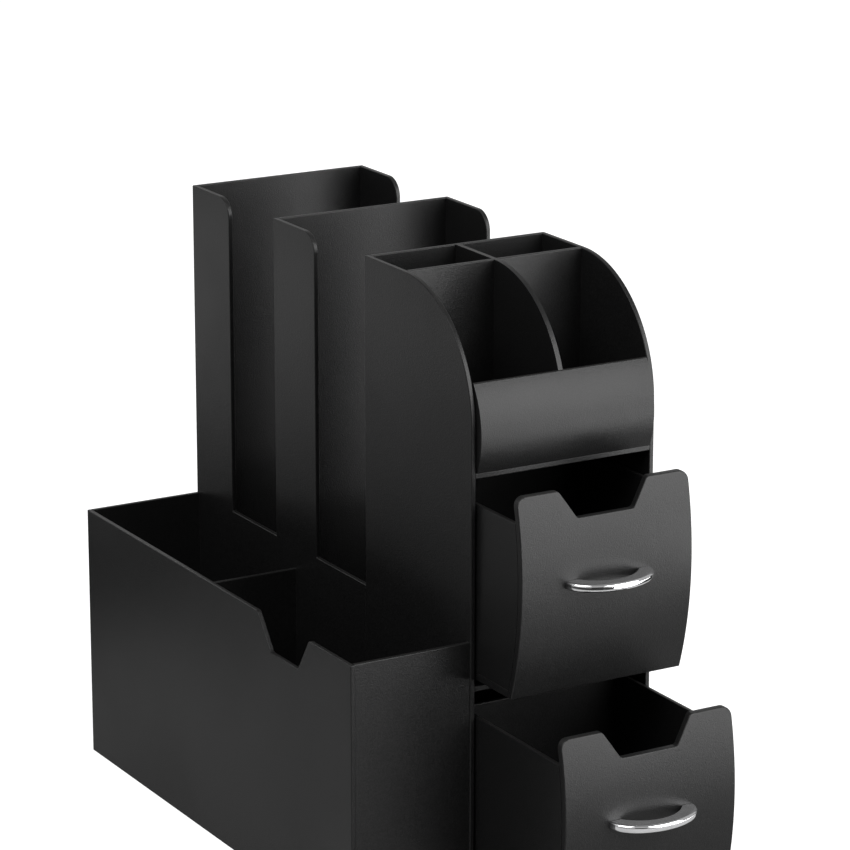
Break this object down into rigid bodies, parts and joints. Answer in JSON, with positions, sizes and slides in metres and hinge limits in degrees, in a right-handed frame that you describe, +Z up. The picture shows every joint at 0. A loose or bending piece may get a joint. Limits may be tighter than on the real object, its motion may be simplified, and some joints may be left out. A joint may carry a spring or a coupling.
{
  "type": "condiment caddy with drawers",
  "caption": "Black countertop condiment caddy: two-drawer tower with packet and stirrer bins, lid and cup bays behind, and a long open napkin and cutlery bin along one side.",
  "frame": {"origin": "centre of the footprint, on the surface that the caddy stands on", "axes": "+X to the right seen from the front, +Y to the back, +Z up; the drawers pull out towards -Y"},
  "size_m": [0.1794, 0.408, 0.325],
  "materials": {
    "black_plastic": "satin, very fine grain",
    "chrome": "bright plated",
    "screw_steel": "zinc plated"
  },
  "bodies": {
    "frame": {"base_plate": "black_plastic", "tower_left_side": "black_plastic", "tower_right_side": "black_plastic", "tower_back": "black_plastic", "lower_shelf": "black_plastic", "middle_shelf": "black_plastic", "top_shelf": "black_plastic", "cross_divider": "black_plastic", "centre_divider": "black_plastic", "fascia": "black_plastic", "bay_left_side": "black_plastic", "bay_right_side": "black_plastic", "lid_bay_back": "black_plastic", "cup_bay_back": "black_plastic", "bin_side": "black_plastic", "bin_front": "black_plastic", "bin_divider": "black_plastic", "bin_back": "black_plastic"},
    "upper_drawer": {"upper_drawer_front": "black_plastic", "upper_drawer_left_side": "black_plastic", "upper_drawer_right_side": "black_plastic", "upper_drawer_back": "black_plastic", "upper_drawer_floor": "black_plastic", "upper_drawer_handle": "chrome", "upper_drawer_screws": "screw_steel"},
    "lower_drawer": {"lower_drawer_front": "black_plastic", "lower_drawer_left_side": "black_plastic", "lower_drawer_right_side": "black_plastic", "lower_drawer_back": "black_plastic", "lower_drawer_floor": "black_plastic", "lower_drawer_handle": "chrome", "lower_drawer_screws": "screw_steel"}
  },
  "joints": [
    {"name": "upper_drawer_slide", "type": "slide", "parent": "frame", "child": "upper_drawer", "axis": [0, -1, 0], "range_m": [-0.0354, 0.047]},
    {"name": "lower_drawer_slide", "type": "slide", "parent": "frame", "child": "lower_drawer", "axis": [0, -1, 0], "range_m": [-0.0784, 0.004]}
  ]
}
